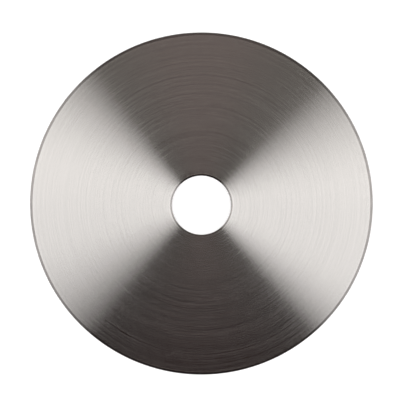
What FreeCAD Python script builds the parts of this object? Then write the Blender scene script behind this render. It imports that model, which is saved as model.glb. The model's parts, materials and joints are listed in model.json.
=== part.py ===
import FreeCAD, Part
import math
import os

# Rigid reflector disc: one flat, round steel plate with a plain hole through its middle.
# Millimetres, +Z up. The plate lies flat with its reflecting face up. The origin is on the
# axis of the hole, in the plane of the back face.

# Driving dimensions
DISC_DIAMETER = 240.0
BORE_DIAMETER = 41.4  # clears the threaded shoulder of an E26 or E27 lampholder
PLATE_THICKNESS = 3.0
RIM_BEVEL_WIDTH = 1.8  # seen square on, between the reflecting face and the rim
BORE_BEVEL_WIDTH = 1.0  # seen square on, between the reflecting face and the bore
BEVEL_ANGLE = 20.0  # degrees between the reflecting face and each bevel
BACK_BREAK = 0.3  # 45 degree deburred corner on the back, at the rim and at the bore

DISC_RADIUS = DISC_DIAMETER / 2
BORE_RADIUS = BORE_DIAMETER / 2
BEVEL_SLOPE = math.tan(math.radians(BEVEL_ANGLE))
VOLUME_TOLERANCE = 1e-6  # share of the volume

ORIGIN = FreeCAD.Vector(0, 0, 0)
UP = FreeCAD.Vector(0, 0, 1)


def half_section():
    """The closed outline between the bore and the rim, in the XZ plane, from the back face round."""
    rim_wall_top = PLATE_THICKNESS - RIM_BEVEL_WIDTH * BEVEL_SLOPE
    bore_wall_top = PLATE_THICKNESS - BORE_BEVEL_WIDTH * BEVEL_SLOPE
    corners = [
        (BORE_RADIUS + BACK_BREAK, 0),
        (DISC_RADIUS - BACK_BREAK, 0),
        (DISC_RADIUS, BACK_BREAK),
        (DISC_RADIUS, rim_wall_top),
        (DISC_RADIUS - RIM_BEVEL_WIDTH, PLATE_THICKNESS),
        (BORE_RADIUS + BORE_BEVEL_WIDTH, PLATE_THICKNESS),
        (BORE_RADIUS, bore_wall_top),
        (BORE_RADIUS, BACK_BREAK),
    ]
    points = [FreeCAD.Vector(radius, 0, height) for radius, height in corners]
    return Part.Face(Part.makePolygon(points + points[:1]))


def reflector_disc():
    """The plate: its half section turned once round the axis of the hole."""
    return half_section().revolve(ORIGIN, UP, 360)


def volume_by_pappus():
    """Section area times the path of its centroid, a second way to the plate's volume."""
    section = half_section()
    return section.Area * 2 * math.pi * section.CenterOfMass.x


def main():
    disc = reflector_disc()
    if not disc.isValid() or len(disc.Solids) != 1:
        raise RuntimeError("the plate isn't one valid solid")
    if abs(disc.Volume - volume_by_pappus()) > VOLUME_TOLERANCE * disc.Volume:
        raise RuntimeError("the plate's volume doesn't agree with its section")
    os.makedirs("parts", exist_ok=True)
    disc.exportStep("parts/reflector_disc.step")
    box = disc.optimalBoundingBox()
    size = f"{box.XLength:.2f} x {box.YLength:.2f} x {box.ZLength:.2f} mm"
    print(f"reflector_disc: {disc.Volume / 1000:.1f} cm3, {size}")


main()
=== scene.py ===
import json
import math

import bpy
import numpy as np
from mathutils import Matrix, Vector


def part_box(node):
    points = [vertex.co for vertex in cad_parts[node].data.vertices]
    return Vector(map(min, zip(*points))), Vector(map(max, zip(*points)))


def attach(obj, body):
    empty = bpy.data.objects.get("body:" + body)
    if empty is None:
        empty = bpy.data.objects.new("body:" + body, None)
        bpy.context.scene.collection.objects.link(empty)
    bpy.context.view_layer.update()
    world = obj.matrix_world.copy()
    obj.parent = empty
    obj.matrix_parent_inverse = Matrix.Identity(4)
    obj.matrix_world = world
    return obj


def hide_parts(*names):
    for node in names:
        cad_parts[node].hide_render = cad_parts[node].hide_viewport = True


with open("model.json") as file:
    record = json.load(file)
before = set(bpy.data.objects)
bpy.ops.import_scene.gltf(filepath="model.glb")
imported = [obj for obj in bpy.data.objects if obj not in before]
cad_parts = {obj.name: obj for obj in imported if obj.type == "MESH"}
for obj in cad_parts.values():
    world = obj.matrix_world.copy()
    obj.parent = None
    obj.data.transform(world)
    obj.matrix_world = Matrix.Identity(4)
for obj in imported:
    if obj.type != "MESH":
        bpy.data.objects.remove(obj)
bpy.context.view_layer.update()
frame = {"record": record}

# Rigid reflector disc: the looks of one flat, circular-brushed steel plate with a centre hole.
# Metres and degrees, +Z up, in the frame of the CAD model. The reflecting face looks up.

# ---- sizes ----

# Sizes that the frame gives
NODE = "reflector_disc"
NODE_LOW, NODE_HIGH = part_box(NODE)
DISC_RADIUS = (NODE_HIGH.x - NODE_LOW.x) / 2
PLATE_THICKNESS = NODE_HIGH.z - NODE_LOW.z
MOUNTS = {mount["name"]: mount for mount in frame["record"]["mounts"]}
BORE_RADIUS = MOUNTS["centre_bore"]["dims"]["r_mm"] / 1000

# Edge shapes, as in the CAD model. Widths are seen square on.
RIM_BEVEL_WIDTH = 0.0018
BORE_BEVEL_WIDTH = 0.0010
BEVEL_ANGLE = 20
BEVEL_SLOPE = math.tan(math.radians(BEVEL_ANGLE))
BACK_BREAK = 0.0003
CORNER_SOFTENING = 0.00006  # how far from each corner its rounding starts

# Fineness of the mesh
AROUND = 384
CORNER_STEPS = 4
BEVEL_RINGS = 3
BACK_RINGS = 24
GROOVE_PITCH = 0.0007
SHARP_EDGE = 30

# Brushing marks that the mesh carries, each a groove whose depth varies in waves round the disc
GROOVE_DEPTH = 0.000002
GROOVE_WAVES = 14
GROOVE_SEED = 7

# ---- finish of the brushed face ----

# Brushing marks that the material carries, from coarse to fine: their width across the grain, the
# arc over which they fade in and out, and a shift that gives each kind a noise of its own
BANDS = dict(width=0.0012, arc=60, shift=3.0, detail=1.0)
LINES = dict(width=0.0007, arc=45, shift=17.0)
HAIRS = dict(width=0.0001, arc=30, shift=41.0)

# A mark fades together with its neighbours, and keeps at least this share of its strength. The range is
# that of the noise over which it goes from faded to full.
WEAKEST_MARK = 0.45
MARKS_THAT_FADE_TOGETHER = 5
FADING_NOISE = (0.3, 0.65)

# The brush moves in by this much each turn, which leaves faint regular rings that wander a little
TURN_PITCH = 0.0031
TURN_WANDER = dict(width=0.020, arc=90, shift=37.0)
TURN_WANDER_STRENGTH = 8.0

# What each kind of mark adds to the tone, and to the height in metres
TONE = dict(bands=0.7, lines=1.0, hairs=0.7, turns=0.08)
HEIGHT = dict(hairs=0.00002, lines=0.000012, turns=0.000002)

# Share of a pixel over which the slope of a mark is taken: any more, and fine marks lean along the grain
BUMP_REACH = 0.005

# Colour and roughness go from the first value to the second over this much tone on each side of zero
FACE_COLOURS = (0.588, 0.567, 0.549, 1), (0.618, 0.597, 0.579, 1)
FACE_COLOUR_TONE = 0.22
FACE_ROUGHNESS = (0.105, 0.155)
FACE_ROUGHNESS_TONE = 0.2
FACE_ANISOTROPY = 1.0

# The ring beside each bevel that deburring has rubbed a little brighter
RUBBED_COLOUR = (0.74, 0.72, 0.70, 1)
RUBBED_WIDTH = 0.0010
RUBBED_FADE = 0.0005

# ---- finish of the edges and the back ----

# Turned edges: a fine grain, and a base colour darker than the face's, which is painted shade that keeps the
# edges dark against the pale floor they mirror
EDGE_GRAIN = dict(width=0.0003, arc=5)
EDGE_GRAIN_AND_SHADE_COLOURS = (0.26, 0.243, 0.237, 1), (0.37, 0.352, 0.341, 1)
EDGE_COLOUR_NOISE = (0.35, 0.65)
EDGE_ROUGHNESS_NOISE = (0.3, 0.7)
EDGE_ROUGHNESS = (0.11, 0.15)
EDGE_ANISOTROPY = 0.3

# Back: mill finish, with a straight grain along X, and clouds where the rolls have polished it unevenly.
# The scales are how many marks there are in a metre along X and Y.
BACK_FINE_GRAIN = (24, 1200, 1)
BACK_BROAD_GRAIN = (5, 340, 1)
BACK_CLOUDS = (14, 20, 1)
BACK_TONE = dict(fine=0.3, broad=0.45, clouds=0.25)
BACK_HEIGHT = dict(broad=0.00003, fine=0.000004)
BACK_TONE_RANGE = (0.38, 0.62)
BACK_COLOURS = (0.46, 0.445, 0.435, 1), (0.64, 0.62, 0.605, 1)
BACK_ROUGHNESS = (0.44, 0.31)
BACK_ANISOTROPY = 0.6

# ---- studio ----

# Side lights. Their angles go round an axis, the pole, that leans from the zenith towards -Y, which is
# where the disc mirrors the camera. They count from straight sideways, up meaning towards +Y. Each
# light starts from nothing at its upper and lower edge, and gains full strength over the fade inside.
POLE_LEAN = 2.7
RIGHT_LIGHT = dict(upper=45.5, upper_fade=42, lower=-49.5, lower_fade=25, strength=1.31)
LEFT_LIGHT = dict(upper=52.3, upper_fade=39, lower=-50.7, lower_fade=40.5, strength=1.255)

# Angles from the pole over which the side lights start, and over which they weaken low in the room
POLE_GAP = (0.4, 3.2)
LIGHTS_LOW_BAND = (50.0, 64.0)
LIGHTS_LOW_SHARE = 0.55

# Faint light in the gap between the two
POLE_GLOW = 0.28
POLE_GLOW_BAND = (0.0, 4.0)

# Dim light of the rest of the room, warm as the metal's dark parts are: beyond the disc (+Y) and on
# its near side (-Y), and the range of the direction's Y over which one goes over into the other
ROOM_BEYOND = (0.216, 0.180, 0.168, 1)
ROOM_NEAR = (0.009, 0.000, 0.000, 1)
ROOM_BLEND = (-0.07, 0.10)

# Tint of the room beside the lights, which fades out over these angles from straight sideways
ROOM_BESIDE_LIGHTS = (0.78, 0.87, 0.85, 1)
BESIDE_LIGHTS_BAND = (52.0, 84.0)

# Paler light low in the room, which comes in over these angles from the pole
ROOM_LOW = (0.50, 0.49, 0.48, 1)
ROOM_LOW_BAND = (50.5, 70.0)

WHITE = (1, 1, 1, 1)

# Very soft light from above that whitens the floor
OVERHEAD_STRENGTH = 2.2
OVERHEAD_SPREAD = 150

# Plain pale floor
FLOOR_SIZE = 12
FLOOR_COLOUR = (0.85, 0.85, 0.85, 1)
FLOOR_ROUGHNESS = 0.8
FLOOR_SPECULAR = 0.1
FLOOR_GLOW = 0.25

# ---- camera ----

# Nearly square on, with the far side of the disc (+Y) at the top of the picture
CAMERA_DISTANCE = 4.0 * DISC_RADIUS
CAMERA_TILT = 2.28
DISC_SHARE_OF_WIDTH = 0.858
SENSOR_WIDTH = 0.036
AIM = Vector((-0.0010, 0.0037, PLATE_THICKNESS))


# ---- node helpers ----


def node(tree, kind, inputs=None, **settings):
    """A node with its settings, and with each input linked to a socket or set to a value."""
    made = tree.nodes.new(kind)
    for key, value in settings.items():
        setattr(made, key, value)
    for key, value in (inputs or {}).items():
        if isinstance(value, bpy.types.NodeSocket):
            tree.links.new(value, made.inputs[key])
        else:
            made.inputs[key].default_value = value
    return made


def math_node(tree, operation, *values, clamp=False):
    inputs = dict(enumerate(values))
    return node(tree, "ShaderNodeMath", inputs, operation=operation, use_clamp=clamp).outputs[0]


def vector_node(tree, operation, *vectors):
    return node(tree, "ShaderNodeVectorMath", dict(enumerate(vectors)), operation=operation)


def smooth_range(tree, value, from_low, from_high, to_low=0.0, to_high=1.0):
    """Smoothly from to_low to to_high while the value goes from from_low to from_high."""
    inputs = {
        "Value": value,
        "From Min": from_low,
        "From Max": from_high,
        "To Min": to_low,
        "To Max": to_high,
    }
    made = node(tree, "ShaderNodeMapRange", inputs, interpolation_type="SMOOTHSTEP")
    return made.outputs["Result"]


def over_band(tree, angle, band, low=0.0, high=1.0):
    """Smoothly from low to high while the angle goes over a band given in degrees."""
    return smooth_range(tree, angle, math.radians(band[0]), math.radians(band[1]), low, high)


def mix_colour(tree, factor, low, high, blend="MIX"):
    inputs = {"Factor": factor, 6: low, 7: high}  # 6 and 7 are the two colour inputs
    return node(tree, "ShaderNodeMix", inputs, data_type="RGBA", blend_type=blend).outputs[2]


def weighted(tree, marks, weights):
    """Sum of the marks that the weights name, each times its weight."""
    total = 0.0
    for kind, weight in weights.items():
        total = math_node(tree, "MULTIPLY_ADD", marks[kind], weight, total)
    return total


def new_material(name):
    material = bpy.data.materials.new(name)
    material.use_nodes = True
    tree = material.node_tree
    tree.nodes.clear()
    shader = node(tree, "ShaderNodeBsdfPrincipled")
    output = node(tree, "ShaderNodeOutputMaterial")
    tree.links.new(shader.outputs["BSDF"], output.inputs["Surface"])
    return material, tree, shader


# ---- materials ----


def polar_parts(tree):
    """Radius, and cosine and sine of the angle round the hole, from object coordinates."""
    place = node(tree, "ShaderNodeTexCoord").outputs["Object"]
    split = node(tree, "ShaderNodeSeparateXYZ", {"Vector": place})
    flat = node(tree, "ShaderNodeCombineXYZ", {"X": split.outputs["X"], "Y": split.outputs["Y"]})
    radius = vector_node(tree, "LENGTH", flat.outputs[0]).outputs["Value"]
    turn = vector_node(tree, "NORMALIZE", flat.outputs[0]).outputs[0]
    turn = node(tree, "ShaderNodeSeparateXYZ", {"Vector": turn})
    return radius, turn.outputs["X"], turn.outputs["Y"]


def streaks(tree, polar, width, arc, detail=2.0, shift=0.0):
    """Noise in arcs round the hole: width across the grain, arc along it."""
    radius, cosine, sine = polar
    around = 1 / math.radians(arc)
    inputs = {
        "X": math_node(tree, "MULTIPLY", radius, 1 / width),
        "Y": math_node(tree, "MULTIPLY", cosine, around),
        "Z": math_node(tree, "MULTIPLY_ADD", sine, around, shift),
    }
    vector = node(tree, "ShaderNodeCombineXYZ", inputs).outputs[0]
    inputs = {"Vector": vector, "Scale": 1.0, "Detail": detail, "Roughness": 0.6}
    return node(tree, "ShaderNodeTexNoise", inputs).outputs[0]


def rings(tree, polar, width, arc, shift, detail=0.0):
    """Brushing marks: exact circles of random strength, width apart, that fade in and out along the arc."""
    place = math_node(tree, "MULTIPLY_ADD", polar[0], 1 / width, shift)
    inputs = {"W": place, "Scale": 1.0, "Detail": detail, "Roughness": 0.6}
    circles = node(tree, "ShaderNodeTexNoise", inputs, noise_dimensions="1D").outputs[0]
    circles = math_node(tree, "SUBTRACT", circles, 0.5)
    fading = streaks(tree, polar, MARKS_THAT_FADE_TOGETHER * width, arc, detail=1.0, shift=shift)
    presence = smooth_range(tree, fading, *FADING_NOISE, WEAKEST_MARK, 1.0)
    return math_node(tree, "MULTIPLY", circles, presence)


def turn_rings(tree, polar):
    """The regular rings that the brush leaves as it moves in, from -1 to 1."""
    wander = math_node(tree, "MULTIPLY", streaks(tree, polar, **TURN_WANDER), TURN_WANDER_STRENGTH)
    phase = math_node(tree, "MULTIPLY_ADD", polar[0], 2 * math.pi / TURN_PITCH, wander)
    return math_node(tree, "SINE", phase)


def beside_bevels(tree, radius):
    """1 in the rubbed rings beside the two bevels, 0 between them."""
    rim_edge = DISC_RADIUS - RIM_BEVEL_WIDTH - RUBBED_WIDTH
    bore_edge = BORE_RADIUS + BORE_BEVEL_WIDTH + RUBBED_WIDTH
    by_rim = smooth_range(tree, radius, rim_edge - RUBBED_FADE, rim_edge + RUBBED_FADE)
    by_bore = smooth_range(tree, radius, bore_edge - RUBBED_FADE, bore_edge + RUBBED_FADE, 1.0, 0.0)
    return math_node(tree, "ADD", by_rim, by_bore)


def brush_round(tree, shader, amount):
    """Turn the gloss so that it spreads across grooves that run round the hole."""
    shader.inputs["Metallic"].default_value = 1.0
    shader.inputs["Anisotropic"].default_value = amount
    shader.inputs["Anisotropic Rotation"].default_value = 0.25
    tangent = node(tree, "ShaderNodeTangent", direction_type="RADIAL", axis="Z")
    tree.links.new(tangent.outputs[0], shader.inputs["Tangent"])


def brushed_face():
    material, tree, shader = new_material("brushed_face")
    polar = polar_parts(tree)
    marks = dict(
        bands=rings(tree, polar, **BANDS),
        lines=rings(tree, polar, **LINES),
        hairs=rings(tree, polar, **HAIRS),
        turns=turn_rings(tree, polar),
    )
    tone = weighted(tree, marks, TONE)
    contrast = smooth_range(tree, tone, -FACE_COLOUR_TONE, FACE_COLOUR_TONE)
    base = mix_colour(tree, contrast, *FACE_COLOURS)
    rubbed = math_node(tree, "MULTIPLY", beside_bevels(tree, polar[0]), contrast)
    colour = mix_colour(tree, rubbed, base, RUBBED_COLOUR)
    tree.links.new(colour, shader.inputs["Base Color"])

    rough = smooth_range(tree, tone, -FACE_ROUGHNESS_TONE, FACE_ROUGHNESS_TONE, *FACE_ROUGHNESS)
    tree.links.new(rough, shader.inputs["Roughness"])
    brush_round(tree, shader, FACE_ANISOTROPY)

    height = weighted(tree, marks, HEIGHT)
    inputs = {"Height": height, "Strength": 1.0, "Distance": 1.0, "Filter Width": BUMP_REACH}
    bump = node(tree, "ShaderNodeBump", inputs)
    tree.links.new(bump.outputs[0], shader.inputs["Normal"])
    return material


def machined_edge():
    material, tree, shader = new_material("machined_edge")
    grain = streaks(tree, polar_parts(tree), **EDGE_GRAIN)
    # The edge colours carry painted shade: the same steel as the face, made darker, with a real fine grain
    # over it
    colour = mix_colour(tree, smooth_range(tree, grain, *EDGE_COLOUR_NOISE), *EDGE_GRAIN_AND_SHADE_COLOURS)
    tree.links.new(colour, shader.inputs["Base Color"])
    rough = smooth_range(tree, grain, *EDGE_ROUGHNESS_NOISE, *EDGE_ROUGHNESS)
    tree.links.new(rough, shader.inputs["Roughness"])
    brush_round(tree, shader, EDGE_ANISOTROPY)
    return material


def straight_noise(tree, place, scale):
    stretched = node(tree, "ShaderNodeMapping", {"Vector": place, "Scale": scale}).outputs[0]
    return node(tree, "ShaderNodeTexNoise", {"Vector": stretched, "Scale": 1.0, "Detail": 3.0}).outputs[0]


def rolled_back():
    material, tree, shader = new_material("rolled_back")
    place = node(tree, "ShaderNodeTexCoord").outputs["Object"]
    marks = dict(
        fine=straight_noise(tree, place, BACK_FINE_GRAIN),
        broad=straight_noise(tree, place, BACK_BROAD_GRAIN),
        clouds=straight_noise(tree, place, BACK_CLOUDS),
    )
    tone = weighted(tree, marks, BACK_TONE)
    colour = mix_colour(tree, smooth_range(tree, tone, *BACK_TONE_RANGE), *BACK_COLOURS)
    tree.links.new(colour, shader.inputs["Base Color"])
    rough = smooth_range(tree, tone, *BACK_TONE_RANGE, *BACK_ROUGHNESS)
    tree.links.new(rough, shader.inputs["Roughness"])
    shader.inputs["Metallic"].default_value = 1.0
    shader.inputs["Anisotropic"].default_value = BACK_ANISOTROPY
    along_grain = node(tree, "ShaderNodeCombineXYZ", {"X": 1.0}).outputs[0]
    tree.links.new(along_grain, shader.inputs["Tangent"])
    height = weighted(tree, marks, BACK_HEIGHT)
    bump = node(tree, "ShaderNodeBump", {"Height": height, "Strength": 1.0, "Distance": 1.0})
    tree.links.new(bump.outputs[0], shader.inputs["Normal"])
    return material


# ---- the plate ----


def softened_corner(before, corner, after):
    """A corner of the outline replaced by a short curve between points just short of it and past it."""
    before, corner, after = np.array(before), np.array(corner), np.array(after)
    start = corner + (before - corner) / np.linalg.norm(before - corner) * CORNER_SOFTENING
    end = corner + (after - corner) / np.linalg.norm(after - corner) * CORNER_SOFTENING
    along = np.linspace(0, 1, CORNER_STEPS + 1)[:, None]
    return (1 - along) ** 2 * start + 2 * along * (1 - along) * corner + along**2 * end


def section_outline():
    """The closed half section as (radius, height, zone) points, anticlockwise from the back face."""
    top = PLATE_THICKNESS
    corners = [
        (BORE_RADIUS + BACK_BREAK, 0.0),
        (DISC_RADIUS - BACK_BREAK, 0.0),
        (DISC_RADIUS, BACK_BREAK),
        (DISC_RADIUS, top - RIM_BEVEL_WIDTH * BEVEL_SLOPE),
        (DISC_RADIUS - RIM_BEVEL_WIDTH, top),
        (BORE_RADIUS + BORE_BEVEL_WIDTH, top),
        (BORE_RADIUS, top - BORE_BEVEL_WIDTH * BEVEL_SLOPE),
        (BORE_RADIUS, BACK_BREAK),
    ]
    face_rings = round((DISC_RADIUS - BORE_RADIUS) / GROOVE_PITCH)
    # The zone of the side that follows each corner, and the number of rings across it
    sides = [("back", BACK_RINGS), ("edge", 1), ("edge", BEVEL_RINGS), ("edge", BEVEL_RINGS)]
    sides += [("face", face_rings), ("edge", BEVEL_RINGS), ("edge", BEVEL_RINGS), ("edge", 1)]
    curves = [
        softened_corner(corners[i - 1], corners[i], corners[(i + 1) % len(corners)])
        for i in range(len(corners))
    ]
    points = []
    for i, (zone, ring_count) in enumerate(sides):
        here, ahead = curves[i], curves[(i + 1) % len(curves)]
        points += [(radius, height, "edge") for radius, height in here[:-1]]
        between = np.linspace(here[-1], ahead[0], ring_count + 1)[:-1]
        points += [(radius, height, zone) for radius, height in between]
    return points


def groove_depths(ring_count):
    """Depth below the face of each brushing mark: a smooth random line round each ring of the face."""
    dice = np.random.default_rng(GROOVE_SEED)
    turn = np.linspace(0, 2 * math.pi, AROUND, endpoint=False)
    depth = np.zeros((ring_count, AROUND))
    for wave in range(GROOVE_WAVES):
        strength = dice.normal(size=(ring_count, 1))
        phase = dice.uniform(0, 2 * math.pi, size=(ring_count, 1))
        depth += strength * np.cos(wave * turn + phase)
    depth /= depth.std()
    return GROOVE_DEPTH * (depth - depth.max())


def plate_vertices(outline):
    """The outline's points at every step round the axis, with the grooves pressed into the face."""
    turn = np.linspace(0, 2 * math.pi, AROUND, endpoint=False)
    radius = np.array([point[0] for point in outline])[:, None]
    height = np.repeat(np.array([point[1] for point in outline])[:, None], AROUND, axis=1)
    on_face = [i for i, point in enumerate(outline) if point[2] == "face"]
    height[on_face] += groove_depths(len(on_face))
    return np.stack([radius * np.cos(turn), radius * np.sin(turn), height], axis=-1).reshape(-1, 3)


def plate(finishes):
    """The plate, with a material for each zone in finishes."""
    outline = section_outline()
    faces = []
    slots = []
    for ring in range(len(outline)):
        after = (ring + 1) % len(outline)
        start, end = ring * AROUND, after * AROUND
        for step in range(AROUND):
            beside = (step + 1) % AROUND
            faces.append((start + step, start + beside, end + beside, end + step))
        zone = "face" if outline[after][2] == "face" else outline[ring][2]
        slots += [list(finishes).index(zone)] * AROUND
    mesh = bpy.data.meshes.new("brushed_plate")
    mesh.from_pydata(plate_vertices(outline).tolist(), [], faces)
    mesh.validate()
    for material in finishes.values():
        mesh.materials.append(material)
    mesh.polygons.foreach_set("material_index", slots)
    mesh.shade_smooth()
    mesh.set_sharp_from_angle(angle=math.radians(SHARP_EDGE))
    mesh.update()
    made = bpy.data.objects.new("brushed_plate", mesh)
    bpy.context.scene.collection.objects.link(made)
    return made


# ---- studio ----


def floor():
    bpy.ops.mesh.primitive_plane_add(size=FLOOR_SIZE, location=(0, 0, 0))
    made = bpy.context.object
    made.name = "floor"
    material, tree, shader = new_material("pale_floor")
    shader.inputs["Base Color"].default_value = FLOOR_COLOUR
    shader.inputs["Roughness"].default_value = FLOOR_ROUGHNESS
    shader.inputs["Specular IOR Level"].default_value = FLOOR_SPECULAR
    shader.inputs["Emission Color"].default_value = WHITE
    shader.inputs["Emission Strength"].default_value = FLOOR_GLOW
    made.data.materials.append(material)
    return made


def overhead_light():
    """The soft light from above, which isn't mirrored in the metal."""
    data = bpy.data.lights.new("overhead_light", "SUN")
    data.energy = OVERHEAD_STRENGTH
    data.angle = math.radians(OVERHEAD_SPREAD)
    made = bpy.data.objects.new("overhead_light", data)
    made.visible_glossy = False
    bpy.context.scene.collection.objects.link(made)


def grow(tree, angle, edge, fade):
    """0 outside a light's edge, then steeply and at last gently up to 1 over the fade."""
    inside = math_node(tree, "SUBTRACT", angle, math.radians(edge))
    share = math_node(tree, "MULTIPLY", inside, 1 / math.radians(fade), clamp=True)
    return math_node(tree, "MULTIPLY", share, math_node(tree, "SUBTRACT", 2.0, share))


def side_light(tree, toward, y, from_pole, upper, upper_fade, lower, lower_fade, strength):
    """Brightness of one side light, where toward is how far the direction goes to its side."""
    turn = math_node(tree, "ARCTAN2", y, toward)
    turned_down = math_node(tree, "MULTIPLY", turn, -1.0)
    above_lower = grow(tree, turn, lower, lower_fade)
    below_upper = grow(tree, turned_down, -upper, upper_fade)
    within = math_node(tree, "MULTIPLY", above_lower, below_upper)
    away = over_band(tree, from_pole, POLE_GAP, 0.0, strength)
    weaker_low = over_band(tree, from_pole, LIGHTS_LOW_BAND, 1.0, LIGHTS_LOW_SHARE)
    return math_node(tree, "MULTIPLY", math_node(tree, "MULTIPLY", within, away), weaker_low)


def side_lights(tree, x, y, from_pole):
    """Brightness of both side lights and of the glow between them."""
    right = side_light(tree, x, y, from_pole, **RIGHT_LIGHT)
    left = side_light(tree, math_node(tree, "MULTIPLY", x, -1.0), y, from_pole, **LEFT_LIGHT)
    glow = over_band(tree, from_pole, POLE_GLOW_BAND, POLE_GLOW, 0.0)
    return math_node(tree, "ADD", math_node(tree, "ADD", right, left), glow)


def dim_room(tree, x, y, from_pole):
    """Colour of the rest of the room."""
    room = mix_colour(tree, smooth_range(tree, y, *ROOM_BLEND), ROOM_NEAR, ROOM_BEYOND)
    sideways = math_node(tree, "ABSOLUTE", x)
    from_side = math_node(tree, "ARCTAN2", math_node(tree, "ABSOLUTE", y), sideways)
    beside = over_band(tree, from_side, BESIDE_LIGHTS_BAND, 1.0, 0.0)
    room = mix_colour(tree, beside, room, ROOM_BESIDE_LIGHTS, "MULTIPLY")
    return mix_colour(tree, over_band(tree, from_pole, ROOM_LOW_BAND), room, ROOM_LOW)


def studio_dome():
    """Soft light from both sides in a dim room, lighter beyond the disc; plain white where seen directly."""
    world = bpy.data.worlds.new("studio_dome")
    bpy.context.scene.world = world
    world.use_nodes = True
    tree = world.node_tree
    tree.nodes.clear()
    direction = node(tree, "ShaderNodeTexCoord").outputs["Generated"]
    inputs = {"Vector": direction, "Angle": math.radians(-POLE_LEAN)}
    leant = node(tree, "ShaderNodeVectorRotate", inputs, rotation_type="X_AXIS").outputs[0]
    x, y, z = node(tree, "ShaderNodeSeparateXYZ", {"Vector": leant}).outputs
    from_pole = math_node(tree, "ARCCOSINE", z)
    bright = side_lights(tree, x, y, from_pole)
    white = node(tree, "ShaderNodeCombineColor", {0: bright, 1: bright, 2: bright}).outputs[0]
    light = vector_node(tree, "ADD", white, dim_room(tree, x, y, from_pole)).outputs[0]
    seen = node(tree, "ShaderNodeLightPath").outputs["Is Camera Ray"]
    colour = mix_colour(tree, seen, light, WHITE)
    background = node(tree, "ShaderNodeBackground", {"Color": colour, "Strength": 1.0})
    output = node(tree, "ShaderNodeOutputWorld")
    tree.links.new(background.outputs[0], output.inputs["Surface"])


def camera():
    data = bpy.data.cameras.new("camera")
    data.sensor_width = SENSOR_WIDTH * 1000
    half_view = DISC_RADIUS / DISC_SHARE_OF_WIDTH
    data.lens = data.sensor_width / 2 * CAMERA_DISTANCE / half_view
    made = bpy.data.objects.new("camera", data)
    tilt = math.radians(CAMERA_TILT)
    back = Vector((0, math.sin(tilt), math.cos(tilt)))
    made.location = AIM + back * CAMERA_DISTANCE
    made.rotation_euler = (-tilt, 0, 0)
    bpy.context.scene.collection.objects.link(made)
    bpy.context.scene.camera = made


bpy.context.scene.view_settings.view_transform = "Standard"
piece = plate({"face": brushed_face(), "edge": machined_edge(), "back": rolled_back()})
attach(piece, "root")
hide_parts(NODE)
floor()
overhead_light()
studio_dome()
camera()
